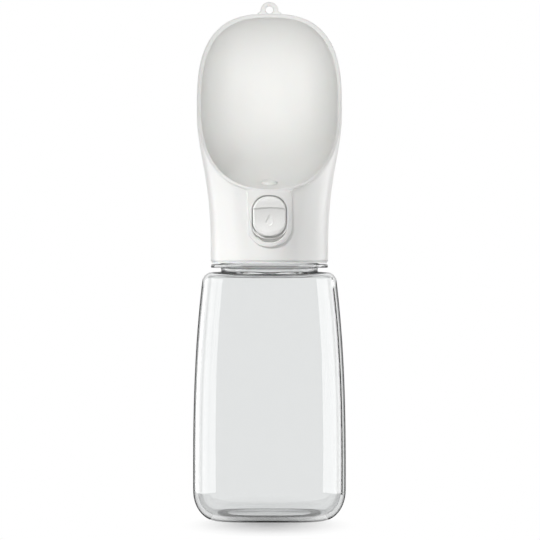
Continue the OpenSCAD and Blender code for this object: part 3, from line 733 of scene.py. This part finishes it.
def makeTrack():  # wall behind the slide lock, with a hole for the plunger
    section = ((0, -28.2), (0, -28.8), (0.5, -28.8), (1, -28.8), (1, -28.2))
    bm = bmesh.new()
    sweepRings(bm, bandRings(slider["trackHole"], slider["trackOuter"], section), capped=False)
    settle(makePiece(bm, "sliderTrack", bowlAbs, sharp=slider["sharp"]), "head", "bowl_plastic")


button = {
    "half": 8.45, "low": 147.9, "high": 168.4, "radius": 7.5, "front": 34.0, "back": 31.5,
    # grip ridge: height, where its crest and end lie down the face, bow of its line, fall, end step
    "ridge": 0.85, "crest": 0.12, "ridgeEnd": 0.27, "arch": 0.035, "slope": 0.4, "step": 0.03,
    "scoop": 1.7, "scoopEnd": 0.98, "scoopPower": 0.8, "scoopLevel": 0.25, "edge": 1.1,
    "facet": 2.2, "facetDepth": 0.7, "facetRise": 5.5, "facetBlend": 3,
    "columns": 110, "rows": 140, "cornerSteps": 40, "outlineSteps": 160,
    "dropRadius": 1.7, "dropZ": 155.3, "dropTip": 3.9, "dropDepth": 0.5, "dropEdge": 0.3,
}


def buttonRise(x, z):  # how far the face stands out of its edge: grip ridge, then thumb scoop
    b = button
    u = (b["high"] - z) / (b["high"] - b["low"])
    end = b["ridgeEnd"] + b["arch"] * (x / b["half"]) ** 2
    fall = b["slope"] * smooth((u - b["crest"]) / (end - b["crest"]))
    ridge = b["ridge"] * smooth(u / b["crest"]) * (1 - fall)
    dip = min(max((u - end) / (b["scoopEnd"] - end), 0), 1)
    level = 1 - b["scoopLevel"] * (x / b["half"]) ** 2
    scoop = b["scoop"] * math.sin(math.pi * dip) ** b["scoopPower"] * level
    return ridge * (1 - smooth((u - end) / b["step"])) - scoop


def dropDistance(x, z):  # to the outline of the water drop, less than 0 inside it
    b = button
    up = z - b["dropZ"]
    side = math.asin(b["dropRadius"] / b["dropTip"])
    inTip = up * math.sin(side) + abs(x) * -math.cos(side) > -b["dropRadius"]
    if inTip and up > b["dropRadius"] * math.sin(side):
        return abs(x) * math.cos(side) + up * math.sin(side) - b["dropTip"] * math.sin(side)
    return math.hypot(x, up) - b["dropRadius"]


def makeButton():
    b = button
    right = roundedOutline(b["half"], b["low"], b["high"], b["radius"], b["cornerSteps"])
    outline = spread(right, b["outlineSteps"])
    middle, rise = (b["high"] + b["low"]) / 2, (b["high"] - b["low"]) / 2
    close = 1e-6
    bm = bmesh.new()
    bmesh.ops.create_grid(bm, x_segments=b["columns"], y_segments=b["rows"], size=1)
    for vert in bm.verts:
        # rows lie closer near the edge, none quite at its end
        z = middle + rise * 0.9998 * math.sin(vert.co.y * math.pi / 2)
        half = max(mix(p[0], q[0], (z - p[1]) / max(q[1] - p[1], close)) for p, q in zip(right, right[1:])
                   if p[1] - close <= z <= q[1] + close)
        x = half * math.sin(vert.co.x * math.pi / 2)
        onEdge = max(abs(vert.co.x), abs(vert.co.y)) > 1 - close
        inward = 0 if onEdge else min(math.dist((abs(x), z), point) for point in outline)
        away = max(b["edge"] - inward, 0)
        depth = buttonRise(x, z) - (b["edge"] - math.sqrt(b["edge"] ** 2 - away ** 2))
        lowness = smooth((b["low"] + b["facetRise"] - z) / b["facetBlend"])
        depth -= b["facetDepth"] * max(1 - inward / b["facet"], 0) * lowness
        depth -= b["dropDepth"] * (1 - smooth(dropDistance(x, z) / b["dropEdge"] + 0.5))
        vert.co = Vector((x, -b["front"] - depth, z)) * mm
    edges = [e for e in bm.edges if e.is_boundary]
    grown = bmesh.ops.extrude_edge_only(bm, edges=edges)["geom"]
    for vert in (item for item in grown if isinstance(item, bmesh.types.BMVert)):
        vert.co.y = -b["back"] * mm
    rear = [item for item in grown if isinstance(item, bmesh.types.BMEdge) and item.is_boundary]
    bmesh.ops.edgeloop_fill(bm, edges=rear)
    piece = makePiece(bm, "pushButton", buttonAbs, sharp=55)
    settle(piece, "button", "button_plastic", "button")


makeSlider()
makeTrack()
makeButton()
print("button made")


# Valve spring, which on the real valve shortens as the button is pressed; here it is made at one length

spring = {
    "radius": 3.5, "wire": 0.4, "turns": 6, "closed": 0.3, "near": 6.5, "far": 18.5, "z": 159.5,
    "travel": 2.5, "stepsPerTurn": 20, "sides": 10,
}


def makeSpring():
    s = spring
    length = s["far"] - s["near"]
    steps = s["turns"] * s["stepsPerTurn"]
    rings = []
    for i in range(steps + 1):
        u = i / steps
        a = math.tau * s["turns"] * u
        along = mix(u, smooth(u), s["closed"])  # the end coils lie closer
        y = s["near"] + s["wire"] + (length - 2 * s["wire"]) * along
        rings.append([((s["radius"] + s["wire"] * math.cos(b)) * math.cos(a), y + s["wire"] * math.sin(b),
                       s["z"] + (s["radius"] + s["wire"] * math.cos(b)) * math.sin(a))
                      for b in (math.tau * k / s["sides"] for k in range(s["sides"]))])
    bm = bmesh.new()
    sweepRings(bm, rings)
    piece = makePiece(bm, "valveSpring", springSteel, sharp=50)
    settle(piece, "head", "spring_steel", "valve_spring")
    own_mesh(piece)


makeSpring()
print("spring made")


# Materials of the CAD pieces that stay

staying = {
    "neck_gasket": mattSilicone, "outlet_sleeve": mattSilicone, "valve_foot_gasket": mattSilicone,
    "spigot_o_ring": nitrileRubber, "stem_o_ring": nitrileRubber, "poppet_seal": nitrileRubber,
    "plug_seal": nitrileRubber, "inner_cap": waxyPolypropylene, "valve_barrel": waxyPolypropylene,
    "stem_bush": waxyPolypropylene, "spring_plug": waxyPolypropylene, "outlet_nozzle": bowlAbs,
    "plunger": turnedAcetal, "poppet_disc": turnedAcetal,
}
for nodeName, material in staying.items():
    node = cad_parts[nodeName]
    node.data.materials.clear()
    node.data.materials.append(material)


# Floor, background, lamps and camera

cardZ = 0.0004  # height of the cards on the floor, metres
studio = {
    "roomLight": 0.29, "floor": "#DCDCDC", "floorLift": 0.3, "floorHalf": 4,
    # oval round which the floor turns from pale to white, in metres
    "shadowY": -0.03, "shadowNarrow": 1.7, "nearFloor": 0.0, "farFloor": 0.078,
    # the camera sees viewWidth metres at viewY
    "camera": (0.0003, -1.6, 0.1307), "viewWidth": 0.2808, "viewY": -0.008, "sensor": 36,
    "lampAim": (0, 0, 0.15), "panelAim": (0, 0.005, 0.1), "spotSize": 0.04,
    "card": "#0A0A0A", "baseShadowRing": (0.4, 12.3, 18),  # card is the colour of the painted shade; height and insets of the ring of painted shadow under the base, mm
    "lamps": {  # place, width and height in metres, and watts
        "frontLamp": ((0.0, -1.7, 0.12), 0.6, 0.2, 3.2),
        "backLamp": ((0.0, 0.55, 1.25), 0.6, 0.6, 2.0),
        "leftLamp": ((-0.9, 0.4, 0.3), 0.4, 0.6, 1.2),
        "rightLamp": ((0.9, 0.4, 0.3), 0.4, 0.6, 2.6),
        "rearLamp": ((0.0, 1.7, 0.2), 0.6, 0.4, 9.0),
    },
    "spots": {  # place, aim, radius of the lit circle in metres, softness of its edge, watts
        "bowlSpot": ((0.0, -1.7, 0.2), (0.003, 0.0, 0.239), 0.078, 1.0, 68.0),
        "buttonSpot": ((-0.8, -1.07, 1.04), (-0.003, -0.03, 0.139), 0.047, 0.5, 76.0),
    },
    "panels": {  # they show only as reflections in the clear plastic and the gloss
        "leftPanel": ((-0.16, 0.005, 0.08), 0.25, 0.24, 0.56),
        "rightPanel": ((0.16, 0.005, 0.08), 0.25, 0.24, 0.56),
    },
    "cards": {  # black cards of painted shade: a corner and its two neighbours, in metres, and whether it is seen through the plastic
        "leftCard": ((-0.045, 0.12, 0), (-0.125, 0.12, 0), (-0.045, 0.12, 0.13), False),
        "rightCard": ((0.045, 0.12, 0), (0.125, 0.12, 0), (0.045, 0.12, 0.13), False),
        "leftFloorCard": ((-0.031, -0.05, cardZ), (-0.131, -0.05, cardZ), (-0.031, 0.12, cardZ),
                          False),
        "rightFloorCard": ((0.031, -0.05, cardZ), (0.131, -0.05, cardZ), (0.031, 0.12, cardZ),
                           False),
        "frontFloorCard": ((-0.031, -0.05, cardZ), (0.031, -0.05, cardZ), (-0.031, -0.0215, cardZ),
                           False),
        "wallCard": ((0.1075, 0.082, 0), (0.129, 0.062, 0), (0.1075, 0.082, 0.13), True),
    },
}


def shownRays(tree):  # 1 for camera, glossy and transmission rays
    path = addNode(tree, "ShaderNodeLightPath").outputs
    either = addNode(tree, "ShaderNodeMath", {"operation": "MAXIMUM"},
                     {0: path["Is Camera Ray"], 1: path["Is Glossy Ray"]})
    return addNode(tree, "ShaderNodeMath", {"operation": "MAXIMUM"},
                   {0: either.outputs[0], 1: path["Is Transmission Ray"]}).outputs[0]


def makeFloor():  # pale near the bottle, where its shadow falls, and white further out
    bm = bmesh.new()
    bmesh.ops.create_grid(bm, x_segments=1, y_segments=1, size=studio["floorHalf"])
    material, tree = newMaterial("paleFloor")
    shown = shownRays(tree)
    place = addNode(tree, "ShaderNodeTexCoord").outputs["Object"]
    narrowed = addNode(tree, "ShaderNodeMapping", {"Scale": (studio["shadowNarrow"], 1, 1)},
                       {"Vector": place})
    reach = addNode(tree, "ShaderNodeVectorMath", {"operation": "DISTANCE", 1: (0, studio["shadowY"], 0)},
                    {0: narrowed.outputs["Vector"]})
    far = addNode(tree, "ShaderNodeMapRange",
                  {"interpolation_type": "SMOOTHSTEP", "From Min": studio["nearFloor"],
                   "From Max": studio["farFloor"]},
                  {"Value": reach.outputs["Value"], "To Max": shown})
    glow = addNode(tree, "ShaderNodeMapRange", {"To Max": studio["floorLift"]}, {"Value": shown})
    matt = addNode(tree, "ShaderNodeBsdfDiffuse", {"Color": colour(studio["floor"])})
    lift = addNode(tree, "ShaderNodeEmission", {"Color": colour("#FFFFFF")},
                   {"Strength": glow.outputs["Result"]})
    near = addNode(tree, "ShaderNodeAddShader", {}, {0: matt.outputs[0], 1: lift.outputs[0]})
    white = addNode(tree, "ShaderNodeEmission", {"Color": colour("#FFFFFF"), "Strength": 1.0})
    both = addNode(tree, "ShaderNodeMixShader", {},
                   {0: far.outputs["Result"], 1: near.outputs[0], 2: white.outputs[0]})
    addNode(tree, "ShaderNodeOutputMaterial", {}, {"Surface": both.outputs[0]})
    makePiece(bm, "floor", material)


def setCard(card, through):  # through says whether it is seen through the plastic
    card.visible_camera = card.visible_diffuse = card.visible_shadow = False
    card.visible_transmission = through


def makeCards():  # black cards, seen only in the clear plastic, where they paint the shade that draws its edges; the ring under the base is a painted contact shadow
    material, tree = newMaterial("paintedShadeCard")
    flock = addNode(tree, "ShaderNodeBsdfDiffuse", {"Color": colour(studio["card"])})
    addNode(tree, "ShaderNodeOutputMaterial", {}, {"Surface": flock.outputs[0]})
    for name, (corner, across, along, through) in studio["cards"].items():
        start = Vector(corner)
        sideways, upwards = Vector(across) - start, Vector(along) - start
        bm = bmesh.new()
        bmesh.ops.create_grid(bm, x_segments=1, y_segments=1, size=0.5)
        for vert in bm.verts:
            vert.co = start + sideways * (vert.co.x + 0.5) + upwards * (vert.co.y + 0.5)
        setCard(makePiece(bm, name, material), through)
    # painted contact shadow: a black ring under the base, seen only through the plastic
    z, outer, inner = studio["baseShadowRing"]
    bm = bmesh.new()
    growRing(bm, startRing(bm, bottleRing(z, outer)), bottleRing(z, inner))
    setCard(makePiece(bm, "paintedBaseShadow", material), True)


def makeWorld():
    world = bpy.data.worlds.new("studio")
    world.use_nodes = True
    scene.world = world
    tree = world.node_tree
    tree.nodes.clear()
    light = addNode(tree, "ShaderNodeBackground",
                    {"Color": colour("#FFFFFF"), "Strength": studio["roomLight"]})
    white = addNode(tree, "ShaderNodeBackground", {"Color": colour("#FFFFFF"), "Strength": 1.0})
    choice = addNode(tree, "ShaderNodeMixShader", {},
                     {0: shownRays(tree), 1: light.outputs[0], 2: white.outputs[0]})
    addNode(tree, "ShaderNodeOutputWorld", {}, {"Surface": choice.outputs[0]})


def aimLamp(lamp, place, aim):
    holder = bpy.data.objects.new(lamp.name, lamp)
    scene.collection.objects.link(holder)
    holder.location = place
    holder.rotation_euler = (Vector(aim) - Vector(place)).to_track_quat("-Z", "Y").to_euler()
    holder.visible_camera = False
    return holder


def addLamp(name, place, width, height, power, aim=studio["lampAim"]):
    lamp = bpy.data.lights.new(name, "AREA")
    lamp.shape, lamp.size, lamp.size_y, lamp.energy = "RECTANGLE", width, height, power
    return aimLamp(lamp, place, aim)


def addSpot(name, place, aim, radius, softness, power):
    lamp = bpy.data.lights.new(name, "SPOT")
    lamp.energy, lamp.spot_blend, lamp.shadow_soft_size = power, softness, studio["spotSize"]
    lamp.spot_size = 2 * math.atan(radius / math.dist(place, aim))
    return aimLamp(lamp, place, aim)


def makeCamera():
    lens = bpy.data.cameras.new("camera")
    camera = bpy.data.objects.new("camera", lens)
    scene.collection.objects.link(camera)
    camera.location = studio["camera"]
    camera.rotation_euler = (math.pi / 2, 0, 0)
    lens.sensor_width = studio["sensor"]
    lens.lens = studio["sensor"] * (studio["viewY"] - studio["camera"][1]) / studio["viewWidth"]
    scene.camera = camera


makeFloor()
makeCards()
makeWorld()
softLamps = [addLamp(name, *settings) for name, settings in studio["lamps"].items()]
for lamp in softLamps + [addSpot(name, *settings) for name, settings in studio["spots"].items()]:
    lamp.visible_glossy = lamp.visible_transmission = False
for name, settings in studio["panels"].items():
    panel = addLamp(name, *settings, studio["panelAim"])
    panel.visible_diffuse = panel.visible_transmission = False
makeCamera()
scene.view_settings.view_transform = "Standard"
print("stage made")
